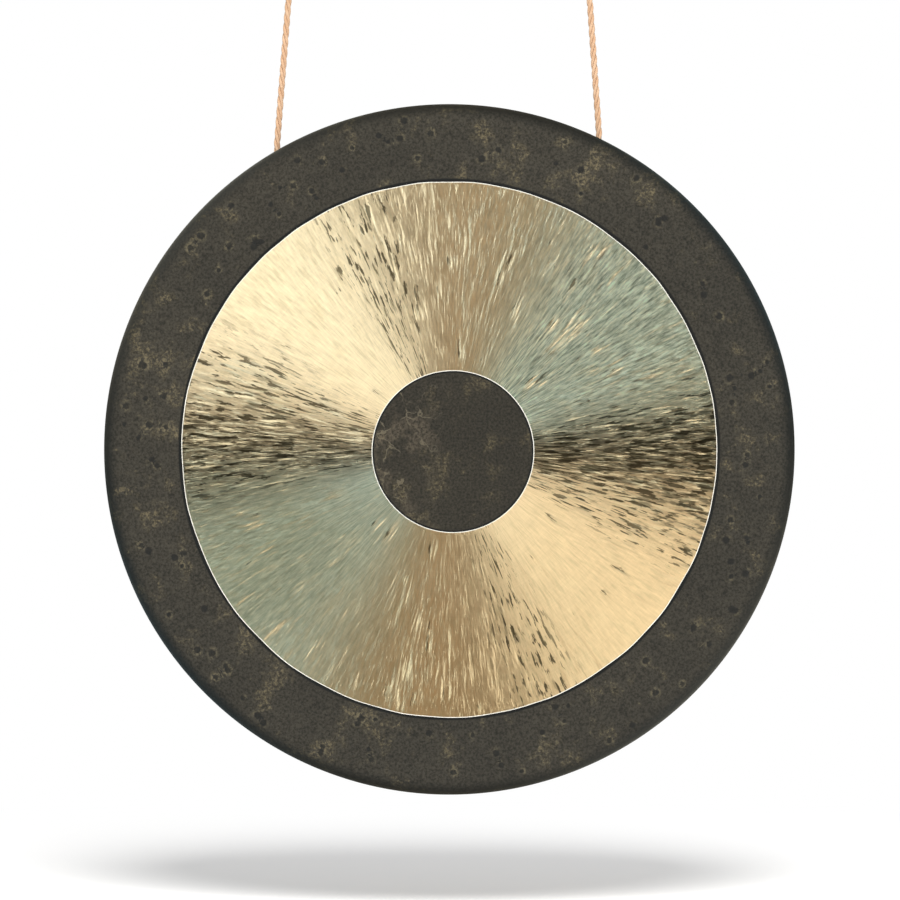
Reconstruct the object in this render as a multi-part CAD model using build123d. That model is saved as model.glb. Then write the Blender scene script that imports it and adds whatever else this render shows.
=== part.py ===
"""A 26 inch tam tam (chau gong) hung on two cords from two steel hooks.

Millimetres, +Z up. The gong's face stands in the XZ plane and looks along -Y. The origin is on the
front of the flat boss, on the axis of the rim.
"""

from build123d import *
import os
from math import atan2, cos, degrees, hypot, radians, sin, sqrt, tan

# ---- the gong -----------------------------------------------------------------------------------
RIM_RADIUS = 330.0          # widest circle, at the end of the rounded shoulder
DEPTH = 46.0                # front of the boss to the back edge of the rim
WALL = 2.1                  # hammered sheet as forged, on the rim and the boss
BAND_RADIUS = 255.1         # outer edge of the lathed band
BAND_DROP = 4.5             # how far the face has curved back there
FLAT_RADIUS = 84.0          # the middle of the face is flat out to here
BOSS_RADIUS = 76.7          # the unlathed disc in the middle
BOSS_OFFSET = (3.4, -2.1)   # the boss is scribed by eye, a little off the rim's axis (x, z)
LATHE_CUT = 0.2             # metal turned away on each side of the band
SHOULDER_RADIUS = 14.0      # outer radius of the turned rim
SHOULDER_SLOPE = 8.0        # degrees that the face leans back where the shoulder starts
RIM_TAPER = 8.0             # degrees that the turned rim leans in towards its back edge

# ---- the cord holes and the cords ---------------------------------------------------------------
CORD_RADIUS = 3.0
HOLE_RADIUS = 4.75
HOLE_Y = 33.0               # depth of the holes' centres
HOLE_ANGLES = {"left": -30.1, "right": 25.8}   # degrees clockwise from the top, seen from the front
MOUTH_OUT = 1.0             # the cord bends this far outside the rim's outer wall
MEETING_HEIGHT = 2372.0     # the cords' lines meet this far above the centre of the gong
GAP = 0.3                   # free play between pieces that move on each other

# ---- the top of each cord: a tied loop over a hook ----------------------------------------------
SEAT_HEIGHT = 506.0         # centre of the cord where the loop lies in its hook
LOOP_LENGTH = 36.0          # from the loop's seat to the top of its knot
LOOP_LEGS = 3.2             # half the distance between the loop's legs where they enter the knot
KNOT_LENGTH = 26.0
KNOT_RADIUS = 10.5
KNOT_END_RADIUS = 6.5       # of the knot's flat ends
STOPPER_RADIUS = 9.0        # round knot on the cord's lower end, inside the rim
STOPPER_DROP = 14.0         # from the cord's bend to the middle of that knot

# ---- the hooks ----------------------------------------------------------------------------------
WIRE_RADIUS = 3.0
CROOK_RADIUS = 11.0         # centreline of the crook
NECK_RADIUS = 6.0           # centreline of the bend between shank and crook
CROOK_END = 25.0            # degrees past level where the crook's tip stops
SHANK_LENGTH = 30.0         # straight, from the neck to the top

LOOP_RADIUS = WIRE_RADIUS + CORD_RADIUS + GAP   # the loop is drawn tight round the hook's wire


def polar(radius, angle):
    """The point at this radius, and this many degrees clockwise from the top, in the plane of the holes."""
    return Vector(radius * sin(radians(angle)), HOLE_Y, radius * cos(radians(angle)))


# ---- the gong's section, in (radius, depth) -----------------------------------------------------
FACE_CURVE = ((BAND_RADIUS - FLAT_RADIUS) ** 2 + BAND_DROP**2) / (2 * BAND_DROP)
BAND_SLOPE = degrees(atan2(BAND_RADIUS - FLAT_RADIUS, FACE_CURVE - BAND_DROP))
SHOULDER_CENTRE_R = RIM_RADIUS - SHOULDER_RADIUS
SHOULDER_START_R = SHOULDER_CENTRE_R + SHOULDER_RADIUS * sin(radians(SHOULDER_SLOPE))
RIM_ZONE_SLOPE = (BAND_SLOPE + SHOULDER_SLOPE) / 2
SHOULDER_START_Y = BAND_DROP + (SHOULDER_START_R - BAND_RADIUS) * tan(radians(RIM_ZONE_SLOPE))
SHOULDER_CENTRE_Y = SHOULDER_START_Y + SHOULDER_RADIUS * cos(radians(SHOULDER_SLOPE))
TURNED_START_R = SHOULDER_CENTRE_R + SHOULDER_RADIUS * cos(radians(RIM_TAPER))
TURNED_START_Y = SHOULDER_CENTRE_Y + SHOULDER_RADIUS * sin(radians(RIM_TAPER))


def turned_rim_radius(y):
    """Outer radius of the turned rim at depth y."""
    return TURNED_START_R - (y - TURNED_START_Y) * tan(radians(RIM_TAPER))


MOUTH_RADIUS = turned_rim_radius(HOLE_Y) + MOUTH_OUT


def gong_section():
    """The sheet's section: its front skin from the axis to the back edge, thickened inwards."""
    with BuildSketch() as section:
        with BuildLine():
            flat = Line((0, 0), (FLAT_RADIUS, 0))
            face = TangentArc(flat @ 1, (BAND_RADIUS, BAND_DROP), tangent=flat % 1)
            rim_zone = TangentArc(face @ 1, (SHOULDER_START_R, SHOULDER_START_Y), tangent=face % 1)
            shoulder = TangentArc(rim_zone @ 1, (TURNED_START_R, TURNED_START_Y), tangent=rim_zone % 1)
            Line(shoulder @ 1, (turned_rim_radius(DEPTH), DEPTH))
            offset(amount=WALL, side=Side.LEFT, closed=True)
        make_face()
    return section.sketch


def face_slice(front, back):
    """A disc as wide as the lathed band, between two depths that follow the curve of the face."""
    with BuildSketch() as section:
        with BuildLine():
            near = Line((0, front), (FLAT_RADIUS, front))
            near_arc = TangentArc(near @ 1, (BAND_RADIUS, BAND_DROP + front), tangent=near % 1)
            far = Line((0, back), (FLAT_RADIUS, back))
            far_arc = TangentArc(far @ 1, (BAND_RADIUS, BAND_DROP + back), tangent=far % 1)
            Line(near @ 0, far @ 0)
            Line(near_arc @ 1, far_arc @ 1)
        make_face()
    return revolve(section.sketch, Axis.Y)


def boss_core():
    """A cylinder through the face where the lathe leaves the boss alone."""
    at = Plane(origin=(BOSS_OFFSET[0], 0, BOSS_OFFSET[1]), z_dir=(0, 1, 0))
    return at * Cylinder(BOSS_RADIUS, 2 * DEPTH)


def gong():
    """One hammered sheet: boss, lathed band, dark rim zone, shoulder and turned rim with two holes."""
    body = revolve(gong_section(), Axis.Y)
    body -= face_slice(-1.0, LATHE_CUT) - boss_core()
    body -= face_slice(WALL - LATHE_CUT, WALL + 1.0) - boss_core()
    for angle in HOLE_ANGLES.values():
        outwards = polar(1, angle) - Vector(0, HOLE_Y, 0)
        at = Plane(origin=polar(RIM_RADIUS - SHOULDER_RADIUS, angle), z_dir=outwards)
        body -= at * Cylinder(HOLE_RADIUS, RIM_RADIUS, align=(Align.CENTER, Align.CENTER, Align.MIN))
    return body


class CordLine:
    """One cord's straight line, from its bend at the rim to its seat in the hook, with its drawing planes."""

    def __init__(self, angle):
        self.mouth = polar(MOUTH_RADIUS, angle)
        self.up = (Vector(0, HOLE_Y, MEETING_HEIGHT) - self.mouth).normalized()
        rise = (SEAT_HEIGHT - self.mouth.Z) / self.up.Z
        self.seat = self.mouth + self.up * rise
        self.strand_top = self.seat - self.up * (LOOP_LENGTH + KNOT_LENGTH + CORD_RADIUS + GAP)
        across = (self.up.Z, 0, -self.up.X)
        self.seat_plane = Plane(origin=self.seat, x_dir=across, z_dir=(0, -1, 0))
        outwards = polar(1, angle) - Vector(0, HOLE_Y, 0)
        self.hole_plane = Plane(origin=self.mouth, x_dir=(outwards.Z, 0, -outwards.X), z_dir=(0, -1, 0))


def loop(cord):
    """The eye that lies in the hook: a tube round its top and down both legs to the flat top of the knot."""
    foot_x, foot_y = LOOP_LEGS, -LOOP_LENGTH - CORD_RADIUS
    reach = hypot(foot_x, foot_y + LOOP_RADIUS)
    bearing = atan2(foot_y + LOOP_RADIUS, foot_x) + atan2(sqrt(reach**2 - LOOP_RADIUS**2), LOOP_RADIUS)
    touch_x, touch_y = LOOP_RADIUS * cos(bearing), LOOP_RADIUS * (sin(bearing) - 1)
    with BuildLine(cord.seat_plane) as path:
        Line((foot_x, foot_y), (touch_x, touch_y))
        ThreePointArc((touch_x, touch_y), (0, 0), (-touch_x, touch_y))
        Line((-touch_x, touch_y), (-foot_x, foot_y))
    wire = path.wire()
    print("loop's arc", round(LOOP_RADIUS, 2), "mm, tube", round(wire.length, 1), "mm")
    in_knot = cord.seat_plane * Pos(0, -LOOP_LENGTH, 0) * Rot(90, 0, 0) * Cylinder(
        KNOT_RADIUS, KNOT_LENGTH, align=(Align.CENTER, Align.CENTER, Align.MIN)
    )
    return sweep((wire ^ 0) * Circle(CORD_RADIUS), wire) - in_knot


def loop_knot(cord):
    """The knot under the loop, a plain barrel of the tied knot's size."""
    top = -LOOP_LENGTH
    middle, bottom = top - KNOT_LENGTH / 2, top - KNOT_LENGTH
    with BuildSketch(cord.seat_plane) as section:
        with BuildLine():
            ThreePointArc((KNOT_END_RADIUS, bottom), (KNOT_RADIUS, middle), (KNOT_END_RADIUS, top))
            Polyline((KNOT_END_RADIUS, top), (0, top), (0, bottom), (KNOT_END_RADIUS, bottom))
        make_face()
    return revolve(section.sketch, Axis(cord.seat_plane.origin, cord.seat_plane.y_dir))


def strand(cord):
    """The straight stretch of cord, round at both ends where it turns on its neighbours."""
    along = cord.strand_top - cord.mouth
    print("strand", round(along.length, 1), "mm between its turning points, straight")
    tube = Plane(origin=cord.mouth, z_dir=along) * Cylinder(
        CORD_RADIUS, along.length, align=(Align.CENTER, Align.CENTER, Align.MIN)
    )
    return tube + Pos(cord.mouth) * Sphere(CORD_RADIUS) + Pos(cord.strand_top) * Sphere(CORD_RADIUS)


def stopper_knot(cord):
    """The knot inside the rim that the gong hangs on, with the short stretch of cord that enters the hole."""
    knot = cord.hole_plane * Pos(0, -STOPPER_DROP, 0) * Sphere(STOPPER_RADIUS)
    stub_top = cord.hole_plane * Pos(0, -CORD_RADIUS - GAP, 0) * Rot(90, 0, 0)
    stub_length = STOPPER_DROP - CORD_RADIUS - GAP
    return knot + stub_top * Cylinder(CORD_RADIUS, stub_length, align=(Align.CENTER, Align.CENTER, Align.MIN))


def hook(cord):
    """A round steel hook. Its crook lies fore and aft under the loop, and its straight shank points up."""
    crook_bottom = cord.seat - cord.up * LOOP_RADIUS
    plane = Plane(origin=crook_bottom + Vector(0, 0, CROOK_RADIUS), x_dir=(0, 1, 0), z_dir=(1, 0, 0))
    neck_y = sqrt((CROOK_RADIUS + NECK_RADIUS) ** 2 - NECK_RADIUS**2)
    neck_turn = atan2(neck_y, NECK_RADIUS)
    share = CROOK_RADIUS / (CROOK_RADIUS + NECK_RADIUS)
    join = (-NECK_RADIUS * share, neck_y * share)
    neck_middle = (NECK_RADIUS * (cos(neck_turn / 2) - 1), neck_y - NECK_RADIUS * sin(neck_turn / 2))
    tip = (CROOK_RADIUS * cos(radians(CROOK_END)), CROOK_RADIUS * sin(radians(CROOK_END)))
    with BuildLine(plane) as path:
        Line((0, neck_y + SHANK_LENGTH), (0, neck_y))
        ThreePointArc((0, neck_y), neck_middle, join)
        ThreePointArc(join, (0, -CROOK_RADIUS), tip)
    wire = path.wire()
    print("shank's top", wire @ 0)
    return sweep((wire ^ 0) * Circle(WIRE_RADIUS), wire) + Pos(wire @ 1) * Sphere(WIRE_RADIUS)


def main():
    os.makedirs("parts", exist_ok=True)
    parts = {"gong": gong()}
    for side, angle in HOLE_ANGLES.items():
        cord = CordLine(angle)
        parts[f"{side}_hook"] = hook(cord)
        parts[f"{side}_cord_loop"] = loop(cord)
        parts[f"{side}_loop_knot"] = loop_knot(cord)
        parts[f"{side}_cord_strand"] = strand(cord)
        parts[f"{side}_stopper_knot"] = stopper_knot(cord)
        print(side, "bend at the rim", cord.mouth, "knot", cord.strand_top, "seat in the hook", cord.seat)
    for name, shape in parts.items():
        export_step(shape, f"parts/{name}.step")


main()
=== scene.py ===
"""A 26 inch tam tam (chau gong) on two laid cords, in metres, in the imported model's frame."""
from math import atan2, cos, pi, radians, sin, sqrt, tan

import bmesh
import bpy
import numpy as np
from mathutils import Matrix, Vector


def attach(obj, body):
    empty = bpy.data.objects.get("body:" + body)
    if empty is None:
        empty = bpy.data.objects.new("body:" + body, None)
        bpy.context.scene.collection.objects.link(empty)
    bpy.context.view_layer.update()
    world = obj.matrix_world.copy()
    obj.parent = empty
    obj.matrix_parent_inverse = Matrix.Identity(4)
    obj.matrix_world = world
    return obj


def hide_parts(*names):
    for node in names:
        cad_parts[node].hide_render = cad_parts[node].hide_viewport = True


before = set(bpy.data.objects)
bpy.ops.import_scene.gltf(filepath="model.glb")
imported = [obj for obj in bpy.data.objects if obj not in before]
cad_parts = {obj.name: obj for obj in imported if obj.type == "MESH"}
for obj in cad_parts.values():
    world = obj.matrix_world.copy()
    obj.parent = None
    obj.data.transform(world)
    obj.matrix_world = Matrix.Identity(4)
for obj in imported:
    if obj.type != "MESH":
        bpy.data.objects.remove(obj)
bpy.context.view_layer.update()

MM = 0.001

# ---- sizes shared with the CAD source ---------------------------------------------
RIM_RADIUS = 330.0
DEPTH = 46.0
WALL = 2.1
BAND_RADIUS = 255.1
BAND_DROP = 4.5
FLAT_RADIUS = 84.0
BOSS_RADIUS = 76.7
BOSS_OFFSET = (3.4, -2.1)
LATHE_CUT = 0.2
SHOULDER_RADIUS = 14.0
SHOULDER_SLOPE = radians(8.0)
RIM_TAPER = radians(8.0)
HOLE_RADIUS = 4.75
HOLE_Y = 33.0
HOLE_ANGLES = {"left": radians(-30.1), "right": radians(25.8)}
CORD_RADIUS = 3.0
GAP = 0.3
MOUTH_OUT = 1.0
MEETING_HEIGHT = 2372.0
SEAT_HEIGHT = 506.0
LOOP_LENGTH = 36.0
KNOT_LENGTH = 26.0
STOPPER_DROP = 14.0
WIRE_RADIUS = 3.0
CROOK_RADIUS = 11.0
NECK_RADIUS = 6.0
CROOK_END = radians(25.0)
SHANK_LENGTH = 30.0
LOOP_RADIUS = WIRE_RADIUS + CORD_RADIUS + GAP

# ---- the camera: a long lens square to the gong, at the height of its centre ------
CAMERA_DISTANCE = 5.0
CAMERA_ASIDE = 0.0006
WIDEST_DEPTH = 0.0266        # how far behind the boss the rim's widest circle is
VIEW_WIDTH = 0.8604          # metres across the picture at that depth
SENSOR = 36.0


def make_camera():
    data = bpy.data.cameras.new("camera")
    data.sensor_width = SENSOR
    data.lens = SENSOR * (CAMERA_DISTANCE + WIDEST_DEPTH) / VIEW_WIDTH
    data.clip_end = 100
    camera = bpy.data.objects.new("camera", data)
    camera.location = (CAMERA_ASIDE, -CAMERA_DISTANCE, -CAMERA_ASIDE)
    camera.rotation_euler = (pi / 2, 0, 0)
    bpy.context.scene.collection.objects.link(camera)
    bpy.context.scene.camera = camera
    bpy.context.scene.view_settings.view_transform = "Standard"


make_camera()


# ---- node helpers -----------------------------------------------------------------
class Shader:
    """A node tree with short ways to add and join nodes."""

    def __init__(self, tree):
        self.tree = tree

    def plug(self, value, socket):
        if hasattr(value, "is_output"):
            self.tree.links.new(value, socket)
        elif value is not None:
            is_colour = socket.type == "RGBA" and hasattr(value, "__len__")
            socket.default_value = (*value, 1) if is_colour else value

    def node(self, kind, out=0, inputs=None, **settings):
        made = self.tree.nodes.new(kind)
        for key, value in settings.items():
            setattr(made, key, value)
        for key, value in (inputs or {}).items():
            self.plug(value, made.inputs[key])
        return made.outputs[out]

    def math(self, operation, *values, clamp=False):
        inputs = dict(enumerate(values))
        return self.node("ShaderNodeMath", inputs=inputs, operation=operation, use_clamp=clamp)

    def vector(self, x=0.0, y=0.0, z=0.0):
        return self.node("ShaderNodeCombineXYZ", inputs={0: x, 1: y, 2: z})

    def split(self, vector):
        made = self.tree.nodes.new("ShaderNodeSeparateXYZ")
        self.plug(vector, made.inputs[0])
        return made.outputs

    def length(self, vector):
        return self.node("ShaderNodeVectorMath", "Value", {0: vector}, operation="LENGTH")

    def stretch(self, vector, factors):
        return self.node("ShaderNodeVectorMath", 0, {0: vector, 1: factors}, operation="MULTIPLY")

    def shift(self, vector, other):
        return self.node("ShaderNodeVectorMath", 0, {0: vector, 1: other}, operation="ADD")

    def noise(self, vector, scale, detail=2.0, roughness=0.5, distortion=0.0):
        inputs = {"Vector": vector, "Scale": scale, "Detail": detail, "Roughness": roughness,
                  "Distortion": distortion}
        return self.node("ShaderNodeTexNoise", 0, inputs)

    def step(self, value, low, high, bottom=0.0, top=1.0):
        """A smooth rise (or fall) from bottom to top as the value goes from low to high."""
        return self.node("ShaderNodeMapRange", 0, {0: value, 1: low, 2: high, 3: bottom, 4: top},
                         interpolation_type="SMOOTHSTEP")

    def times(self, *values):
        product = values[0]
        for value in values[1:]:
            product = self.math("MULTIPLY", product, value)
        return product

    def mix(self, fac, a, b, blend="MIX"):
        made = self.tree.nodes.new("ShaderNodeMix")
        made.data_type = "RGBA"
        made.blend_type = blend
        for value, index in ((fac, 0), (a, 6), (b, 7)):
            self.plug(value, made.inputs[index])
        return made.outputs[2]

    def darken(self, fac, colour, factors):
        """The colour, multiplied by these factors where fac is 1."""
        return self.mix(fac, colour, self.mix(1.0, colour, factors, "MULTIPLY"))

    def ramp(self, fac, stops):
        made = self.tree.nodes.new("ShaderNodeValToRGB")
        elements = made.color_ramp.elements
        while len(elements) < len(stops):
            elements.new(0.5)
        for element, (position, colour) in zip(elements, stops):
            element.position = position
            element.color = (*colour, 1)
        self.plug(fac, made.inputs[0])
        return made.outputs[0]

    def bump(self, height, distance, strength=1.0, normal=None):
        return self.node("ShaderNodeBump", inputs={
            "Height": height, "Distance": distance, "Strength": strength, "Normal": normal})

    def object_point(self):
        return self.node("ShaderNodeTexCoord", "Object")


class Material(Shader):
    """A Principled material, with its uniform values set on the shader's own sockets."""

    def __init__(self, name, **values):
        self.material = bpy.data.materials.new(name)
        self.material.use_nodes = True
        super().__init__(self.material.node_tree)
        self.bsdf = self.tree.nodes["Principled BSDF"]
        for key, value in values.items():
            self.plug(value, self.bsdf.inputs[key.replace("_", " ")])

    def finish(self, colour, roughness=None, normal=None):
        for key, value in (("Base Color", colour), ("Roughness", roughness), ("Normal", normal)):
            self.plug(value, self.bsdf.inputs[key])
        return self.material


# ---- the studio: pale floor, soft light, and a ring of tall panels for the bronze to reflect ----
FLOOR_Z = -0.44
FLOOR_RADIUS = 40.0
FLOOR_FADE = (0.6, 1.5)      # metres from the gong, between which the floor turns into plain white

# Panels ring the line of sight through the gong, as (degrees anticlockwise from the right, colour).
# What stands opposite is alike, because a turned surface mirrors both ends of a diameter.
PANELS = [
    (0, (0.07, 0.06, 0.045)),
    (10, (0.08, 0.07, 0.05)),
    (13, (0.25, 0.23, 0.17)),
    (16, (0.32, 0.30, 0.23)),
    (19, (2.05, 3.20, 3.90)),
    (28, (1.90, 3.00, 3.70)),
    (31, (0.20, 0.22, 0.15)),
    (42, (0.24, 0.25, 0.16)),
    (45, (1.70, 2.75, 3.40)),
    (52, (1.40, 2.30, 2.80)),
    (56, (0.80, 0.95, 0.90)),
    (61, (0.76, 0.76, 0.62)),
    (78, (0.78, 0.72, 0.55)),
    (84, (1.60, 1.20, 0.84)),
    (89, (1.20, 0.96, 0.70)),
    (92, (0.62, 0.58, 0.46)),
    (106, (0.56, 0.51, 0.40)),
    (111, (1.10, 1.02, 0.86)),
    (114, (3.80, 4.00, 3.75)),
    (130, (3.00, 3.10, 2.84)),
    (164, (3.70, 3.64, 3.25)),
    (167, (0.60, 0.48, 0.34)),
    (169, (0.04, 0.032, 0.025)),
    (180, (0.03, 0.025, 0.018)),
]

# The panels stop short of the line of sight, where the studio is dark.
DARK_RADII = (radians(14.0), radians(34.0))
SOFT_GLOW = (0.36, 0.36, 0.36)
DARK_MIDDLE = (0.08, 0.07, 0.055)
BEHIND = (0.62, 0.60, 0.55)  # how much dimmer the panels behind the gong are


def make_floor():
    floor_material = Material("studio_floor", Base_Color=(0.92, 0.92, 0.92), Roughness=0.9,
                              Specular_IOR_Level=0.0, Emission_Color=(1.0, 1.0, 1.0), Emission_Strength=0.17)
    distance = floor_material.length(floor_material.object_point())
    far = floor_material.step(distance, *FLOOR_FADE)
    glow = floor_material.node("ShaderNodeEmission", inputs={"Color": (1.0, 1.0, 1.0), "Strength": 1.0})
    shaders = {0: far, 1: floor_material.bsdf.outputs[0], 2: glow}
    both = floor_material.node("ShaderNodeMixShader", inputs=shaders)
    floor_material.plug(both, floor_material.tree.nodes["Material Output"].inputs[0])
    mesh = bpy.data.meshes.new("studio_floor")
    made = bmesh.new()
    bmesh.ops.create_circle(made, cap_ends=True, segments=96, radius=FLOOR_RADIUS)
    made.to_mesh(mesh)
    made.free()
    floor = bpy.data.objects.new("studio_floor", mesh)
    floor.location = (0, 0, FLOOR_Z)
    floor.data.materials.append(floor_material.material)
    floor.visible_glossy = False
    bpy.context.scene.collection.objects.link(floor)


def area_light(name, place, target, size, energy, colour):
    data = bpy.data.lights.new(name, "AREA")
    data.shape = "ELLIPSE"
    data.size, data.size_y = size
    data.energy = energy
    data.color = colour
    light = bpy.data.objects.new(name, data)
    light.location = place
    light.rotation_euler = (Vector(target) - Vector(place)).to_track_quat("-Z", "Y").to_euler()
    light.visible_camera = False
    light.visible_glossy = False
    bpy.context.scene.collection.objects.link(light)


def make_world():
    """White where the camera looks, an even dim glow for matt surfaces, and the panels for polished ones."""
    world = bpy.data.worlds.new("studio")
    bpy.context.scene.world = world
    world.use_nodes = True
    sky = Shader(world.node_tree)
    x, y, z = sky.split(sky.node("ShaderNodeTexCoord", "Generated"))
    turn = sky.math("DIVIDE", sky.math("ARCTAN2", z, x), 2 * pi)
    half_turn = sky.math("FRACT", sky.math("MULTIPLY", sky.math("ADD", turn, 1.0), 2.0))
    panels = sky.ramp(half_turn, [(angle / 180, colour) for angle, colour in PANELS])
    panels = sky.mix(sky.step(sky.math("ABSOLUTE", y), *map(cos, DARK_RADII)), DARK_MIDDLE, panels)
    panels = sky.mix(sky.step(y, -0.1, 0.1), panels, sky.mix(1.0, panels, BEHIND, "MULTIPLY"))
    path = sky.tree.nodes.new("ShaderNodeLightPath")
    glossy = sky.mix(path.outputs["Is Glossy Ray"], SOFT_GLOW, panels)
    colour = sky.mix(path.outputs["Is Camera Ray"], glossy, (1.0, 1.0, 1.0))
    sky.plug(colour, sky.tree.nodes["Background"].inputs[0])


make_floor()
make_world()
area_light("top_softbox", (0.18, -3.94, 3.08), (0, 0, 0), (1.8, 2.6), 323, (1.0, 0.99, 0.97))
area_light("back_softbox", (1.6, 3.0, 1.2), (0, 0, 0), (1.6, 1.6), 34, (0.97, 0.98, 1.0))


# ---- small geometry helpers -------------------------------------------------------
def mesh_object(name, points, faces, materials, body):
    """A new piece from points in millimetres, riding on a body."""
    mesh = bpy.data.meshes.new(name)
    mesh.from_pydata((np.asarray(points) * MM).tolist(), [], faces)
    mesh.shade_smooth()
    for material in materials:
        mesh.materials.append(material)
    piece = bpy.data.objects.new(name, mesh)
    bpy.context.scene.collection.objects.link(piece)
    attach(piece, body)
    return piece


def unit(vectors):
    return vectors / np.linalg.norm(vectors, axis=-1, keepdims=True)


def resample(points, spacing):
    """The same line with its points this far apart."""
    steps = np.linalg.norm(np.diff(points, axis=0), axis=1)
    along = np.concatenate([[0], np.cumsum(steps)])
    count = max(2, int(round(along[-1] / spacing)) + 1)
    places = np.linspace(0, along[-1], count)
    return np.stack([np.interp(places, along, points[:, axis]) for axis in range(3)], axis=1), places


def line_frames(points):
    """Two directions across the line at each point, carried along it without twisting."""
    ahead = unit(np.gradient(points, axis=0))
    side = unit(np.cross(ahead[0], (0.31, 0.87, 0.38)))
    sides = []
    for direction in ahead:
        side = side - direction * np.dot(side, direction)
        side = side / np.linalg.norm(side)
        sides.append(side)
    sides = np.array(sides)
    return ahead, sides, np.cross(ahead, sides)


def tube_faces(rings, around, start=0):
    """Quads between rings of points, with a point at each end: the ends' points come after the rings'."""
    faces = []
    for ring in range(rings - 1):
        low, high = start + ring * around, start + (ring + 1) * around
        faces += [(low + k, low + (k + 1) % around, high + (k + 1) % around, high + k) for k in range(around)]
    first, last = start + rings * around, start + rings * around + 1
    high = start + (rings - 1) * around
    faces += [(start + (k + 1) % around, start + k, first) for k in range(around)]
    faces += [(high + k, high + (k + 1) % around, last) for k in range(around)]
    return faces


def spline_points(name, controls):
    """Points along the NURBS spline that has these control points, in millimetres."""
    curve = bpy.data.curves.new(name, "CURVE")
    curve.dimensions = "3D"
    curve.resolution_u = 16
    spline = curve.splines.new("NURBS")
    spline.points.add(len(controls) - 1)
    for point, place in zip(spline.points, controls):
        point.co = (*(Vector(place) * MM), 1)
    spline.order_u = 3
    spline.use_endpoint_u = True
    holder = bpy.data.objects.new(name, curve)
    line = bpy.data.meshes.new_from_object(holder)
    points = np.array([vertex.co[:] for vertex in line.vertices]) / MM
    bpy.data.objects.remove(holder)
    bpy.data.curves.remove(curve)
    bpy.data.meshes.remove(line)
    return points


# ---- rope: three strands laid round each other ------------------------------------
STRAND_RADIUS = 1.56
STRAND_OFFSET = 1.58         # from the rope's centre to each strand's
ROPE_PITCH = 30.0            # one full turn of a strand
STRAND_SIDES = 12
ROPE_RING_SPACING = 0.8
ROPE_HANDS = {"left": -1, "right": 1}


def strand_lay(along, strand):
    """Lay coordinates for each corner of a strand's faces, in the order that tube_faces makes them."""
    lay = []
    shares = [(k / STRAND_SIDES, (k + 1) / STRAND_SIDES) for k in range(STRAND_SIDES)]
    for low, high in zip(along[:-1], along[1:]):
        for here, there in shares:
            lay += [(low, here, strand), (low, there, strand), (high, there, strand), (high, here, strand)]
    for tip in (0.0, along[-1]):
        for here, _ in shares:
            lay += [(tip, here, strand)] * 3
    return lay


def rope_geometry(line, hand):
    """Points, faces and lay coordinates (mm along, turns round, strand number) of a rope along a line."""
    centres, along = resample(line, ROPE_RING_SPACING)
    _, side, over = line_frames(centres)
    from_end = np.clip(np.minimum(along, along[-1] - along) / STRAND_RADIUS, 0.06, 1)
    rounded_end = np.sqrt(from_end * (2 - from_end))
    around = np.arange(STRAND_SIDES) * 2 * pi / STRAND_SIDES
    points, faces, lay = [], [], []
    for strand in range(3):
        turn = hand * 2 * pi * along / ROPE_PITCH + strand * 2 * pi / 3
        out = side * np.cos(turn)[:, None] + over * np.sin(turn)[:, None]
        strand_line = centres + out * STRAND_OFFSET
        ahead, _, _ = line_frames(strand_line)
        out = unit(out - ahead * np.sum(out * ahead, axis=1, keepdims=True))
        across = np.cross(ahead, out)
        ring = out[:, None] * np.cos(around)[None, :, None] + across[:, None] * np.sin(around)[None, :, None]
        surface = strand_line[:, None] + ring * (STRAND_RADIUS * rounded_end)[:, None, None]
        faces += tube_faces(len(centres), STRAND_SIDES, len(points))
        points += surface.reshape(-1, 3).tolist()
        points += [strand_line[0].tolist(), strand_line[-1].tolist()]
        lay += strand_lay(along, strand)
    return points, faces, lay


def rope_piece(name, line, hand, body, node):
    """A length of the rope laid along a line, in place of a CAD node."""
    points, faces, lay = rope_geometry(line, hand)
    piece = mesh_object(name, points, faces, [CORD], body)
    attribute = piece.data.attributes.new("lay", "FLOAT_VECTOR", "CORNER")
    attribute.data.foreach_set("vector", np.array(lay, dtype=np.float32).ravel())
    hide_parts(node)
    return piece


def cord_material():
    """Peach cotton: fine yarns along each strand, painted shade between the strands, with a soft fuzz."""
    cord = Material("cotton_cord", Roughness=0.85, Specular_IOR_Level=0.2, Sheen_Weight=0.35,
                    Sheen_Roughness=0.5, Sheen_Tint=(1.0, 0.86, 0.72))
    along, round_turns, strand = cord.split(cord.node("ShaderNodeAttribute", "Vector", attribute_name="lay"))
    yarn_turn = cord.math("MULTIPLY_ADD", round_turns, 7.0, cord.times(along, 0.22))
    yarn = cord.math("SINE", cord.times(yarn_turn, 2 * pi))
    fibre_place = cord.vector(cord.times(along, 0.35), cord.times(yarn_turn, 2.0), strand)
    fibre = cord.noise(fibre_place, 2.6, 3.0, 0.6)
    blotch = cord.noise(cord.vector(along, 0.0, strand), 0.16, 2.0)
    tone = cord.math("MULTIPLY_ADD", fibre, 0.9, 0.05)
    tone = cord.math("MULTIPLY_ADD", yarn, 0.13, tone, clamp=True)
    colour = cord.mix(tone, (0.40, 0.205, 0.10), (0.64, 0.435, 0.285))
    colour = cord.mix(cord.step(blotch, 0.35, 0.7), colour, cord.mix(0.45, colour, (0.66, 0.48, 0.33)))
    # Painted shade: the colour darkens where ambient occlusion finds the strands crowding each other.
    strand_shade = cord.node("ShaderNodeAmbientOcclusion", 1, {"Distance": 0.0011}, samples=6)
    colour = cord.mix(cord.step(strand_shade, 0.2, 0.8), (0.25, 0.11, 0.05), colour)
    height = cord.math("MULTIPLY_ADD", yarn, 0.5, cord.times(fibre, 0.8))
    return cord.finish(colour, normal=cord.bump(height, 0.00022, 0.8))


CORD = cord_material()


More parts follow.
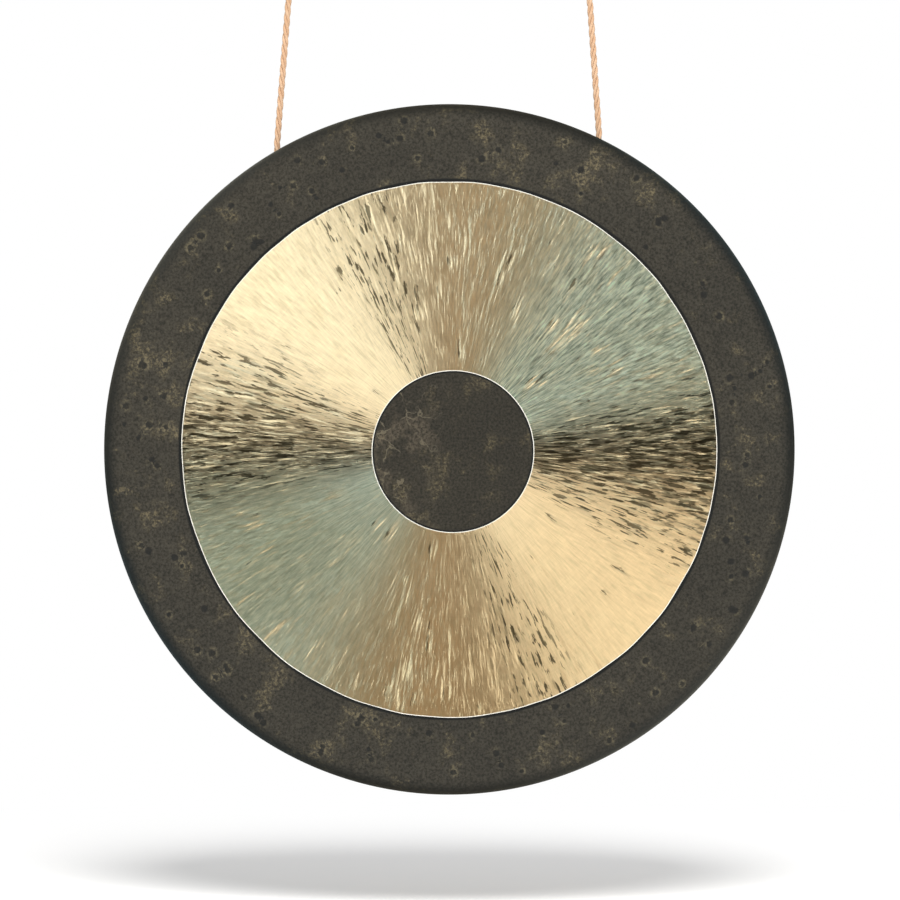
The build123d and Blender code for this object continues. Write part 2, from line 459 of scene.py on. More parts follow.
class CordLine:
    """One cord's straight line from its bend at the rim to its seat in the hook, in millimetres."""

    def __init__(self, angle):
        self.outwards = Vector((sin(angle), 0, cos(angle)))
        turned_start_r = RIM_RADIUS - SHOULDER_RADIUS * (1 - cos(RIM_TAPER))
        mouth_r = turned_start_r - (HOLE_Y - TURNED_START_Y) * tan(RIM_TAPER) + MOUTH_OUT
        self.mouth = Vector((0, HOLE_Y, 0)) + self.outwards * mouth_r
        self.up = (Vector((0, HOLE_Y, MEETING_HEIGHT)) - self.mouth).normalized()
        self.across = Vector((self.up.z, 0, -self.up.x))
        self.seat = self.mouth + self.up * ((SEAT_HEIGHT - self.mouth.z) / self.up.z)
        self.strand_top = self.below_seat(LOOP_LENGTH + KNOT_LENGTH + CORD_RADIUS + GAP)

    def below_seat(self, distance, aside=0.0):
        return self.seat - self.up * distance + self.across * aside


FACE_CURVE = ((BAND_RADIUS - FLAT_RADIUS) ** 2 + BAND_DROP**2) / (2 * BAND_DROP)
BAND_SLOPE = atan2(BAND_RADIUS - FLAT_RADIUS, FACE_CURVE - BAND_DROP)
SHOULDER_CENTRE_R = RIM_RADIUS - SHOULDER_RADIUS
SHOULDER_START_R = SHOULDER_CENTRE_R + SHOULDER_RADIUS * sin(SHOULDER_SLOPE)
RIM_ZONE_CURVE = (SHOULDER_START_R - BAND_RADIUS) / (sin(SHOULDER_SLOPE) - sin(BAND_SLOPE))
SHOULDER_START_Y = BAND_DROP + RIM_ZONE_CURVE * (cos(BAND_SLOPE) - cos(SHOULDER_SLOPE))
SHOULDER_CENTRE_Y = SHOULDER_START_Y + SHOULDER_RADIUS * cos(SHOULDER_SLOPE)
TURNED_START_Y = SHOULDER_CENTRE_Y + SHOULDER_RADIUS * sin(RIM_TAPER)

ROPE_INTO_STOPPER = 9.0      # how far the rope runs on past its bend, into the stopper knot
BEND_BELOW = 1.5             # the bend's own points, this far below it and above it
BEND_ABOVE = 3.0
ROPE_INTO_KNOT = 8.0         # how far the rope runs past its upper turning point, into the loop's knot
STRAIGHT_FROM_EDGE = 36.0    # six diameters up from the bend

# The loop's route as (aside, below the seat): up one leg, round the hook and down the other.
LOOP_ROUTE = [(3.2, 40.0), (4.6, 24.0), (6.9, 13.5), (7.3, 6.3), (3.65, 0.0),
              (-3.65, 0.0), (-7.3, 6.3), (-6.9, 13.5), (-4.6, 24.0), (-3.2, 40.0)]

STEPS_PER_TURN = 14          # points in each wrap of a knot
LOOP_KNOT = {"length": -20.0, "radius": 7.1, "end_radius": 5.6, "turns": 4.0, "tail": -9.0}
STOPPER_KNOT = {"length": -13.0, "radius": 5.9, "end_radius": 5.2, "turns": 2.6, "tail": -8.0}
STOPPER_BODIES = {"left": "left_stopper", "right": "right_strand"}


def knot_line(centre, axis, length, radius, end_radius, turns, tail):
    """The line of a barrel knot: wraps that bulge in the middle, one end tucked in and one short tail."""
    axis = np.array(axis)
    side = unit(np.cross(axis, (0.0, 1.0, 0.0)))
    over = np.cross(axis, side)
    steps = int(turns * STEPS_PER_TURN)
    tucked = STEPS_PER_TURN // 2
    places = []
    for step in range(-tucked, steps + 1):
        share = max(step, 0) / steps
        tuck = max(0, -step) / tucked
        wrap_radius = (end_radius + (radius - end_radius) * sin(pi * share)) * (1 - 0.75 * tuck)
        turn = 2 * pi * step / STEPS_PER_TURN
        height = length * (share - 0.5) + 0.12 * length * tuck
        places.append(np.array(centre) + axis * height + (side * cos(turn) + over * sin(turn)) * wrap_radius)
    turn = 2 * pi * (steps + 1) / STEPS_PER_TURN
    outward = side * cos(turn) + over * sin(turn)
    places += [places[-1] + outward * 2.5 + axis * (0.4 * tail), places[-1] + outward * 3.5 + axis * tail]
    return spline_points("knot", [Vector(place) for place in places])


def make_cord(side, cord):
    """The rope with its stopper knot, and the eye over the hook with the knot that closes it."""
    hand = ROPE_HANDS[side]
    knot_centre = cord.below_seat(LOOP_LENGTH + KNOT_LENGTH / 2)
    knot = rope_piece(f"{side}_tied_knot", knot_line(knot_centre, cord.up, **LOOP_KNOT),
                      hand, f"{side}_loop", f"{side}_loop_knot")
    stopper_centre = cord.mouth - cord.outwards * STOPPER_DROP
    stopper = rope_piece(f"{side}_stopper", knot_line(stopper_centre, cord.outwards, **STOPPER_KNOT),
                         hand, STOPPER_BODIES[side], f"{side}_stopper_knot")
    route = [cord.mouth - cord.outwards * ROPE_INTO_STOPPER, cord.mouth - cord.outwards * BEND_BELOW,
             cord.mouth + cord.up * BEND_ABOVE, cord.mouth + cord.up * STRAIGHT_FROM_EDGE,
             cord.strand_top + cord.up * ROPE_INTO_KNOT]
    line = spline_points("rope_route", route)
    rope = rope_piece(f"{side}_rope", line, hand, f"{side}_strand", f"{side}_cord_strand")
    eye_line = spline_points("loop_route", [cord.below_seat(below, aside) for aside, below in LOOP_ROUTE])
    eye = rope_piece(f"{side}_eye", eye_line, hand, f"{side}_loop", f"{side}_cord_loop")
    cord.below_seat(LOOP_LENGTH) * MM


# ---- hooks ------------------------------------------------------------------------
THREAD_LENGTH = 22.0
THREAD_PITCH = 1.0
THREAD_DEPTH = 0.5
THREAD_RUNOUT = 1.5
CHAMFER = 0.8
SHANK_STEP = 0.2
NECK_STEPS = 16
CROOK_STEPS = 64
DOME_STEPS = 7
HOOK_SIDES = 24


def hook_line(cord):
    """From the shank's top down, round the neck and the crook to the tip, all in one upright plane."""
    bottom = cord.seat - cord.up * LOOP_RADIUS
    neck_z = sqrt((CROOK_RADIUS + NECK_RADIUS) ** 2 - NECK_RADIUS**2)
    turned = atan2(neck_z, -NECK_RADIUS)
    shank_steps = int(SHANK_LENGTH / SHANK_STEP)
    flat = [(0.0, neck_z + SHANK_LENGTH - SHANK_STEP * step) for step in range(shank_steps)]
    neck_end = turned - pi
    for step in range(NECK_STEPS + 1):
        angle = neck_end * step / NECK_STEPS
        flat.append((NECK_RADIUS * (cos(angle) - 1), neck_z + NECK_RADIUS * sin(angle)))
    sweep = 2 * pi + CROOK_END - turned
    for step in range(1, CROOK_STEPS + 1):
        angle = turned + sweep * step / CROOK_STEPS
        flat.append((CROOK_RADIUS * cos(angle), CROOK_RADIUS * sin(angle)))
    return np.array([(bottom.x, bottom.y + y, bottom.z + CROOK_RADIUS + z) for y, z in flat])


def make_hook(side, cord):
    """The hook's wire, with a cut thread on its shank and a domed tip."""
    line = hook_line(cord)
    steps = np.linalg.norm(np.diff(line, axis=0), axis=1)
    along = np.concatenate([[0], np.cumsum(steps)])
    ahead, across, over = line_frames(line)
    around = np.arange(HOOK_SIDES) * 2 * pi / HOOK_SIDES
    radius = np.full((len(line), HOOK_SIDES), WIRE_RADIUS)
    thread = np.abs(((along[:, None] / THREAD_PITCH - around / (2 * pi)) % 1) - 0.5) * 2
    runout = np.clip((THREAD_LENGTH - along) / THREAD_RUNOUT, 0, 1) * np.clip(along / CHAMFER, 0, 1)
    radius -= THREAD_DEPTH * (1 - thread) * runout[:, None]
    radius -= np.clip(CHAMFER - along, 0, CHAMFER)[:, None]
    rings = line[:, None] + radius[:, :, None] * (
        across[:, None] * np.cos(around)[None, :, None] + over[:, None] * np.sin(around)[None, :, None])
    dome = []
    for step in range(1, DOME_STEPS):
        lift = pi / 2 * step / DOME_STEPS
        dome.append(line[-1] + ahead[-1] * WIRE_RADIUS * sin(lift) + WIRE_RADIUS * cos(lift) * (
            across[-1] * np.cos(around)[:, None] + over[-1] * np.sin(around)[:, None]))
    rings = np.concatenate([rings, np.array(dome)])
    points = rings.reshape(-1, 3).tolist()
    points += [line[0].tolist(), (line[-1] + ahead[-1] * WIRE_RADIUS).tolist()]
    faces = tube_faces(len(rings), HOOK_SIDES)
    piece = mesh_object(f"{side}_hook_threaded", points, faces, [STEEL], "hooks")
    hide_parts(f"{side}_hook")


def steel_material():
    """Zinc plated wire: long drawing marks, cloudy plating, and painted shade in the thread."""
    steel = Material("plated_steel", Metallic=1.0)
    point = steel.object_point()
    drawn = steel.noise(steel.stretch(point, (900.0, 900.0, 60.0)), 1.0, 3.0)
    cloud = steel.noise(point, 240.0, 3.0, 0.6)
    # Painted shade: the colour darkens where ambient occlusion finds the thread's hollows.
    thread_shade = steel.node("ShaderNodeAmbientOcclusion", 1, {"Distance": 0.0012}, samples=6)
    colour = steel.mix(cloud, (0.50, 0.51, 0.52), (0.66, 0.66, 0.65))
    colour = steel.mix(steel.step(thread_shade, 0.35, 0.85), (0.14, 0.13, 0.12), colour)
    roughness = steel.math("MULTIPLY_ADD", cloud, 0.25, 0.22)
    return steel.finish(colour, roughness, steel.bump(drawn, 0.00005, 0.5))


STEEL = steel_material()
for side, angle in HOLE_ANGLES.items():
    cord_line = CordLine(angle)
    make_cord(side, cord_line)
    make_hook(side, cord_line)


# ---- the gong's shape -------------------------------------------------------------
def face_depth(r):
    """How far the front skin lies behind the boss, out to the start of the shoulder."""
    flat = np.clip(r - FLAT_RADIUS, 0, BAND_RADIUS - FLAT_RADIUS)
    outer = np.clip(r - BAND_RADIUS, 0, SHOULDER_START_R - BAND_RADIUS)
    lean = np.arcsin(np.sin(BAND_SLOPE) + outer / RIM_ZONE_CURVE)
    return FACE_CURVE - np.sqrt(FACE_CURVE**2 - flat**2) + RIM_ZONE_CURVE * (cos(BAND_SLOPE) - np.cos(lean))


def fade(t):
    return t * t * t * (t * (6 * t - 15) + 10)


def gradient_noise(u, v, cells, seed):
    """Smooth noise from about -1 to 1, on a grid that repeats after this many cells of u."""
    rows = 64
    angles = np.random.default_rng(seed).uniform(0, 2 * pi, (cells, rows))
    column, row = np.floor(u).astype(int), np.floor(v).astype(int)
    du, dv = u - column, v - row

    def corner(i, j):
        angle = angles[(column + i) % cells, (row + j) % rows]
        return np.cos(angle) * (du - i) + np.sin(angle) * (dv - j)

    near = corner(0, 0) + fade(du) * (corner(1, 0) - corner(0, 0))
    far = corner(0, 1) + fade(du) * (corner(1, 1) - corner(0, 1))
    return 1.5 * (near + fade(dv) * (far - near))


STREAK_DEPTH = 0.46
EDGE_WOBBLE = 0.9            # how far the turned band's outer edge wanders

# How hard the band is hammered, as (angle in degrees anticlockwise from the right, strength).
HAMMERING = [(-180, 0.6), (-172, 0.4), (-152, 0.8), (-138, 1.2), (-110, 1.1), (-76, 1.05), (-62, 0.55),
             (-42, 0.35), (-26, 0.9), (-12, 1.25), (0, 0.7), (14, 1.0), (45, 1.3), (70, 1.05), (100, 1.2),
             (112, 1.3), (120, 0.5), (146, 0.4), (158, 1.1), (170, 1.5), (176, 1.0), (180, 0.6)]

# How crowded the painted dark reflections are round the band, in the same form: dark streaks painted where
# the band mirrors the dark side of the studio.
PAINTED_DARK_REFLECTION = [(-180, 0.42), (-176, 0.28), (-170, 0.08), (-164, 0.0), (-82, 0.0), (-72, 0.12), (-64, 0.10),
         (-56, 0.0), (-32, 0.0), (-22, 0.14), (-16, 0.30), (-10, 0.54), (-5, 0.66), (0, 0.58), (6, 0.46),
         (11, 0.25), (15, 0.0), (100, 0.0), (107, 0.14), (116, 0.12), (124, 0.0), (146, 0.0), (158, 0.10),
         (166, 0.18), (172, 0.28), (180, 0.42)]

# And how strongly the band is brushed: real grain, made strongest where the band mirrors the cyan panels, so
# partly painted reflection.
GRAIN_AND_PAINTED_REFLECTION = [(-180, 0.1), (-168, 0.35), (-135, 0.35), (-118, 0.1), (-60, 0.0), (0, 0.1), (10, 0.5), (18, 1.0),
           (52, 1.0), (64, 0.3), (100, 0.1), (180, 0.1)]


def wrap(angle):
    return (angle + pi) % (2 * pi) - pi


def round_band(profile, theta):
    """The profile's value in the direction theta."""
    degrees, value = zip(*profile)
    return np.interp(np.degrees(wrap(theta)), degrees, value)


def streaks(theta, r):
    """Long hammer dents that point at the middle, crowded in some places and shallow in others."""
    turns = theta / (2 * pi)
    meander = 0.9 * gradient_noise(turns * 40, r / 55, 40, 1)
    crowd = (0.75 + 0.6 * gradient_noise(turns * 24, r / 60, 24, 2)) * round_band(HAMMERING, theta)
    broad = gradient_noise(turns * 140 + meander, r / 52, 140, 3)
    narrow = gradient_noise(turns * 290 + 2 * meander, r / 32, 290, 4)
    return crowd * (STREAK_DEPTH * broad * r / 200 + 0.45 * STREAK_DEPTH * narrow * r / 200)


def scatter(count, inner, outer, seed):
    """Random places between two radii, as (angle, radius, four random numbers)."""
    random = np.random.default_rng(seed)
    angle = random.uniform(-pi, pi, count)
    radius = np.sqrt(random.uniform(inner**2, outer**2, count))
    return angle, radius, random.uniform(0, 1, (4, count))


# Groups of single hammer strokes on the band: the middle and spread of each in degrees, and how many.
STROKE_GROUPS = [(-13, 8, 95), (166, 10, 90), (109, 7, 50), (-72, 9, 24), (20, 12, 22), (52, 16, 16),
                 (-146, 22, 12), (136, 16, 12), (-42, 15, 12), (88, 11, 18), (-96, 13, 16)]


def stroke_places():
    """The strokes, as (angle, radius, four random numbers)."""
    random = np.random.default_rng(5)
    angle = np.concatenate([random.normal(radians(middle), radians(spread), count)
                            for middle, spread, count in STROKE_GROUPS])
    radius = np.sqrt(random.uniform(88**2, 250**2, len(angle)))
    return angle, radius, random.uniform(0, 1, (4, len(angle)))


STROKES = stroke_places()
PITS = scatter(110, 264, 317, 6)


def stroke_dents(theta, r):
    """How deep the single strokes are: each is 8 to 25 mm long, 2 to 4 mm wide and a little bent."""
    depth = np.zeros_like(theta)
    for angle, radius, long, deep, skew, bend in zip(*STROKES[:2], *STROKES[2]):
        length, width = 3 + 6.5 * long**1.5, 0.75 + 0.5 * deep
        near = (np.abs(r - radius) < 3 * length) & (np.abs(wrap(theta - angle)) * radius < 4 * width + 8)
        ahead = r[near] - radius
        across = wrap(theta[near] - angle) * radius
        across = across + (skew - 0.5) * 0.35 * ahead + (bend - 0.5) * 0.014 * ahead**2
        reach = 0.5 * (across / width) ** 2 + 0.5 * (ahead / length) ** 2
        depth[near] += (0.26 + 0.3 * deep) * np.exp(-reach)
    return depth


def pit_places(theta, r):
    """For each point, where it lies from the nearest pit's middle, in units of that pit's radius."""
    x, z = r * np.cos(theta), r * np.sin(theta)
    best = np.full(theta.shape, 9.0)
    place = np.full((*theta.shape, 2), 9.0)
    for angle, radius, size, _, _, _ in zip(*PITS[:2], *PITS[2]):
        pit_radius = 2.0 + 1.7 * size
        dx = (x - radius * cos(angle)) / pit_radius
        dz = (z - radius * sin(angle)) / pit_radius
        closer = dx**2 + dz**2 < best
        best[closer] = (dx**2 + dz**2)[closer]
        place[closer, 0], place[closer, 1] = dx[closer], dz[closer]
    return place


def hammer_marks(theta, r):
    """Broad shallow planishing marks left on the dark metal."""
    turns = theta / (2 * pi)
    return 0.10 * gradient_noise(turns * 90, r / 19, 90, 7) + 0.12 * gradient_noise(turns * 36, r / 45, 36, 8)


OXIDE_INDEX, BRONZE_INDEX, LIP_INDEX = 0, 1, 2
AROUND = 992                 # points round the outer rings, for just under 200,000 triangles
HOLE_SIDES = 40
CUTTER_FROM = RIM_RADIUS - 12
CUTTER_TO = RIM_RADIUS + 6


def ring_plan():
    """The rings from front centre round to back centre: (radius, depth, points, zone of the next faces)."""
    plan = []

    def add(radius, depth, count, zone):
        plan.append((radius, depth, count, zone))

    for radius in (3, 6, 9, 12):
        add(radius, 0, AROUND // 16, "boss")
    for radius in (15, 18, 21, 24):
        add(radius, 0, AROUND // 8, "boss")
    for radius in range(27, 50, 3):
        add(radius, 0, AROUND // 4, "boss")
    for radius in range(51, 75, 3):
        add(radius, 0, AROUND // 2, "boss")
    add(75.4, 0, AROUND // 2, "boss")
    add(75.9, 0.14, AROUND // 2, "boss")
    add(76.4, 0.14, AROUND // 2, "boss")
    add(BOSS_RADIUS, 0, AROUND // 2, "lip")
    add(BOSS_RADIUS + 0.65, LATHE_CUT, AROUND // 2, "band")
    for radius in np.linspace(79, 126, 13):
        add(radius, face_depth(radius) + LATHE_CUT, AROUND // 2, "band")
    for radius in np.linspace(130, 252, 30):
        add(radius, face_depth(radius) + LATHE_CUT, AROUND, "band")
    add(BAND_RADIUS - 1.6, BAND_DROP + LATHE_CUT, AROUND, "band")
    add(BAND_RADIUS - 0.65, BAND_DROP + LATHE_CUT, AROUND, "lip")
    add(BAND_RADIUS, BAND_DROP, AROUND, "rim")
    add(BAND_RADIUS + 0.5, BAND_DROP + LATHE_CUT, AROUND, "rim")
    add(BAND_RADIUS + 1.3, BAND_DROP + LATHE_CUT, AROUND, "rim")
    add(BAND_RADIUS + 2.0, face_depth(BAND_RADIUS + 2.0), AROUND, "rim")
    for radius in np.linspace(BAND_RADIUS + 4.4, SHOULDER_START_R, 23):
        add(radius, face_depth(radius), AROUND, "rim")
    for angle in np.linspace(SHOULDER_SLOPE, pi / 2 - RIM_TAPER, 11)[1:]:
        add(SHOULDER_CENTRE_R + SHOULDER_RADIUS * sin(angle),
            SHOULDER_CENTRE_Y - SHOULDER_RADIUS * cos(angle), AROUND // 2, "edge")
    shoulder_end = SHOULDER_CENTRE_R + SHOULDER_RADIUS * cos(RIM_TAPER)
    for depth in (28.0, 31.0, 35.0, 39.0, 42.5, DEPTH - 0.5):
        add(shoulder_end - (depth - TURNED_START_Y) * tan(RIM_TAPER), depth, AROUND // 2, "edge")
    back_r = shoulder_end - (DEPTH - TURNED_START_Y) * tan(RIM_TAPER)
    add(back_r - 0.5, DEPTH, AROUND // 2, "edge")
    add(back_r - WALL + 0.5, DEPTH, AROUND // 2, "inside")
    inside_r = shoulder_end - WALL / cos(RIM_TAPER)
    for depth in (DEPTH - 0.5, 42.5, 39.0, 35.0, 31.0):
        add(inside_r - (depth - TURNED_START_Y) * tan(RIM_TAPER), depth, AROUND // 4, "inside")
    inner = SHOULDER_RADIUS - WALL
    for angle in np.linspace(pi / 2 - RIM_TAPER, SHOULDER_SLOPE, 8):
        add(SHOULDER_CENTRE_R + inner * sin(angle), SHOULDER_CENTRE_Y - inner * cos(angle),
            AROUND // 4, "inside")
    for radius in np.linspace(SHOULDER_START_R - 6, BAND_RADIUS + 1.5, 8):
        add(radius, face_depth(radius) + WALL, AROUND // 4, "inside")
    add(BAND_RADIUS, BAND_DROP + WALL, AROUND // 4, "back_lip")
    add(BAND_RADIUS - 0.8, BAND_DROP + WALL - LATHE_CUT, AROUND // 4, "back_band")
    for radius in np.linspace(250, 79, 25):
        add(radius, face_depth(radius) + WALL - LATHE_CUT, AROUND // 4, "back_band")
    add(BOSS_RADIUS + 0.8, WALL - LATHE_CUT, AROUND // 4, "back_lip")
    add(BOSS_RADIUS, WALL, AROUND // 4, "back_boss")
    for radius in (74, 68, 62, 56, 50):
        add(radius, WALL, AROUND // 4, "back_boss")
    for radius in (43, 36, 29, 23):
        add(radius, WALL, AROUND // 8, "back_boss")
    for radius in (17, 12, 7, 3):
        add(radius, WALL, AROUND // 16, "back_boss")
    return plan


ZONE_MATERIAL = {"boss": OXIDE_INDEX, "band": BRONZE_INDEX, "lip": LIP_INDEX, "rim": OXIDE_INDEX,
                 "edge": OXIDE_INDEX, "inside": OXIDE_INDEX, "back_lip": LIP_INDEX,
                 "back_band": BRONZE_INDEX, "back_boss": OXIDE_INDEX}


def ring_points(radius, depth, count, zone):
    """A ring's points, centred on the boss near the middle and on the rim's axis outside, with its dents."""
    theta = np.arange(count) * 2 * pi / count
    off_centre = np.clip((BAND_RADIUS - radius) / (BAND_RADIUS - FLAT_RADIUS), 0, 1)
    x = BOSS_OFFSET[0] * off_centre + radius * np.cos(theta)
    z = BOSS_OFFSET[1] * off_centre + radius * np.sin(theta)
    wobble = EDGE_WOBBLE * gradient_noise(theta / (2 * pi) * 44, np.full(count, 3.3), 44, 9)
    wobble *= np.clip(1 - abs(radius - BAND_RADIUS) / 9, 0, 1)
    x += wobble * np.cos(theta)
    z += wobble * np.sin(theta)
    r = np.full(count, float(radius))
    y = np.full(count, float(depth))
    if zone == "band" or zone == "back_band":
        edge = min(1.0, (BAND_RADIUS - radius) / 3, (radius - BOSS_RADIUS) / 3)
        dents = streaks(theta, r) + (stroke_dents(theta, r) if zone == "band" else 0)
        y += edge * dents
    elif zone in ("boss", "rim", "inside", "back_boss"):
        edge = np.clip((SHOULDER_START_R + 6 - radius) / 12, 0, 1)
        edge *= np.clip(abs(radius - BAND_RADIUS) / 4, 0, 1)
        edge *= np.clip(abs(radius - BOSS_RADIUS) / 4, 0, 1)
        y += edge * hammer_marks(theta, r)
        if zone == "rim":
            pit = pit_places(theta, r)
            y += edge * 0.35 * np.exp(-1.2 * np.sum(pit**2, axis=1))
    return np.stack([x, y, z], axis=1)


def ring_faces(low, low_count, high, high_count):
    """Faces between two rings, the second one with as many points, half or double."""
    k = np.arange(min(low_count, high_count))
    if low_count == high_count:
        after = (k + 1) % low_count
        return np.stack([low + k, low + after, high + after, high + k], axis=1).tolist()
    few, many, count = (low, high, low_count) if low_count < high_count else (high, low, high_count)
    here, middle, there = many + 2 * k, many + 2 * k + 1, many + (2 * k + 2) % (2 * count)
    after = few + (k + 1) % count
    triangles = [(few + k, middle, here), (few + k, after, middle), (after, there, middle)]
    if low_count > high_count:
        triangles = [(a, c, b) for a, b, c in triangles]
    return [face for corners in triangles for face in np.stack(corners, axis=1).tolist()]


def gong_mesh():
    """The gong's points, its faces and each face's material index."""
    plan = ring_plan()
    counts = [count for _, _, count, _ in plan]
    starts = [sum(counts[:index]) for index in range(len(plan))]
    rings = [ring_points(*ring) for ring in plan]
    boss_x, boss_z = BOSS_OFFSET
    points = np.concatenate(rings + [[[boss_x, 0, boss_z], [boss_x, WALL, boss_z]]])
    faces, kinds = [], []
    for index in range(len(plan) - 1):
        new = ring_faces(starts[index], counts[index], starts[index + 1], counts[index + 1])
        faces += new
        kinds += [ZONE_MATERIAL[plan[index][3]]] * len(new)
    first, last = counts[0], counts[-1]
    centre_front, centre_back = sum(counts), sum(counts) + 1
    faces += [[(k + 1) % first, k, centre_front] for k in range(first)]
    faces += [[starts[-1] + k, starts[-1] + (k + 1) % last, centre_back] for k in range(last)]
    kinds += [OXIDE_INDEX] * (first + last)
    return points, faces, kinds


def cut_cord_holes(piece):
    """Two round holes, square through the turned rim."""
    points, faces = [], []
    around = np.arange(HOLE_SIDES) * 2 * pi / HOLE_SIDES
    back = np.array((0, 1, 0))
    for angle in HOLE_ANGLES.values():
        outwards = np.array((sin(angle), 0, cos(angle)))
        across = np.array((cos(angle), 0, -sin(angle)))
        ends = [outwards * radius + (0, HOLE_Y, 0) for radius in (CUTTER_FROM, CUTTER_TO)]
        ring = HOLE_RADIUS * (across * np.cos(around)[:, None] + back * np.sin(around)[:, None])
        faces += tube_faces(len(ends), HOLE_SIDES, len(points))
        for end in ends:
            points += (end + ring).tolist()
        points += [end.tolist() for end in ends]
    mesh = bpy.data.meshes.new("hole_cutter")
    mesh.from_pydata((np.array(points) * MM).tolist(), [], faces)
    made = bmesh.new()
    made.from_mesh(mesh)
    bmesh.ops.recalc_face_normals(made, faces=made.faces)
    made.to_mesh(mesh)
    made.free()
    cutter = bpy.data.objects.new("hole_cutter", mesh)
    bpy.context.scene.collection.objects.link(cutter)
    boolean = piece.modifiers.new("holes", "BOOLEAN")
    boolean.operation = "DIFFERENCE"
    boolean.solver = "MANIFOLD"
    boolean.object = cutter
    bpy.context.view_layer.update()
    cut = bpy.data.meshes.new_from_object(piece.evaluated_get(bpy.context.evaluated_depsgraph_get()))
    piece.modifiers.clear()
    piece.data = cut
    bpy.data.objects.remove(cutter)
    cut.name = piece.name


def paint_band_reflections(bronze, colour, polar):
    """Painted dark reflection on the band: in the single strokes, and crowded where the band mirrors the dark
    side of the studio.
    """
    # Painted dark reflection in the strokes' dents, where their steep sides would mirror the dark.
    stroke = bronze.node("ShaderNodeAttribute", 2, attribute_name="stroke")
    thread = bronze.noise(polar, 150.0, 2.0, 0.6)
    stroke_reflection = bronze.math("MULTIPLY_ADD", bronze.math("SUBTRACT", thread, 0.5), 0.9, stroke)
    colour = bronze.mix(bronze.step(stroke_reflection, 0.30, 0.50, 0.0, 0.85), colour, (0.085, 0.066, 0.038))
    # Painted dark reflection: a soft brown haze and near black cores, crowded at the sides where the band
    # mirrors the dark studio.
    painted_dark_reflection = bronze.node("ShaderNodeAttribute", 2, attribute_name="painted_dark_reflection")
    painted_dark_haze = bronze.noise(bronze.shift(polar, (3.0, 0.0, 5.0)), 52.0, 3.0, 0.6)
    painted_dark_haze = bronze.step(bronze.math("MULTIPLY_ADD", painted_dark_reflection, 0.24, painted_dark_haze), 0.58, 0.70)
    painted_dark_haze = bronze.times(painted_dark_haze, bronze.step(painted_dark_reflection, 0.0, 0.20, 0.0, 0.80))
    colour = bronze.mix(painted_dark_haze, colour, (0.17, 0.137, 0.085))
    painted_dark_core = bronze.noise(bronze.shift(polar, (0.0, 2.0, 9.0)), 64.0, 3.0, 0.55)
    painted_dark_core = bronze.step(bronze.math("MULTIPLY_ADD", painted_dark_reflection, 0.16, painted_dark_core), 0.585, 0.640)
    painted_dark_core = bronze.times(painted_dark_core, bronze.step(painted_dark_reflection, 0.0, 0.10, 0.0, 0.90))
    return bronze.mix(painted_dark_core, colour, (0.060, 0.046, 0.026))


